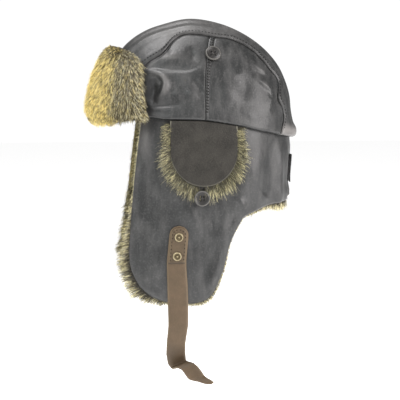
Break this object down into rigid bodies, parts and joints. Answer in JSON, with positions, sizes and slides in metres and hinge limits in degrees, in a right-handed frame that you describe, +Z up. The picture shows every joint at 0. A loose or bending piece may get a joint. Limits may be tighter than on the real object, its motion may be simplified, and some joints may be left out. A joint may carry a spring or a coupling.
{
  "type": "aviator hat",
  "caption": "Leather aviator hat with a panelled crown, fur-lined ear flaps and nape, a turned-up fur visor, buttoned ear vents and hanging chin straps.",
  "frame": {"origin": "the middle of the head opening, level with the brow, where the hat sits on the head", "axes": "+Z up, -Y towards the front where the visor is, +X towards the wearer's left"},
  "size_m": [0.2102, 0.2675, 0.4381],
  "materials": {
    "leather": "smooth dark grey leather with a soft sheen",
    "suede": "napped dark olive-grey leather",
    "fur": "long pile, dark at the root and cream at the tip",
    "strap_leather": "brown leather with burnished edges",
    "button": "dark horn-like plastic",
    "elastic": "black elastic cord",
    "stud": "aged brass"
  },
  "bodies": {
    "root": {"crown_strip": "leather", "crown_side_front_left": "leather", "crown_side_front_right": "leather", "crown_side_back_left": "leather", "crown_side_back_right": "leather", "skirt_leather": "leather", "visor_leather": "leather", "nape_tab": "leather", "vent_leather_left": "suede", "vent_leather_right": "suede", "skirt_fur": "fur", "visor_fur": "fur", "vent_fur_left": "fur", "vent_fur_right": "fur", "chin_strap_left": "strap_leather", "chin_strap_right": "strap_leather", "strap_patch_left": "strap_leather", "strap_patch_right": "strap_leather", "vent_button_left": "button", "vent_button_right": "button", "crown_button_left": "button", "crown_button_right": "button", "vent_loop_left": "elastic", "vent_loop_right": "elastic", "strap_stud_upper_left": "stud", "strap_stud_upper_right": "stud", "strap_stud_lower_left": "stud", "strap_stud_lower_right": "stud"}
  },
  "joints": []
}
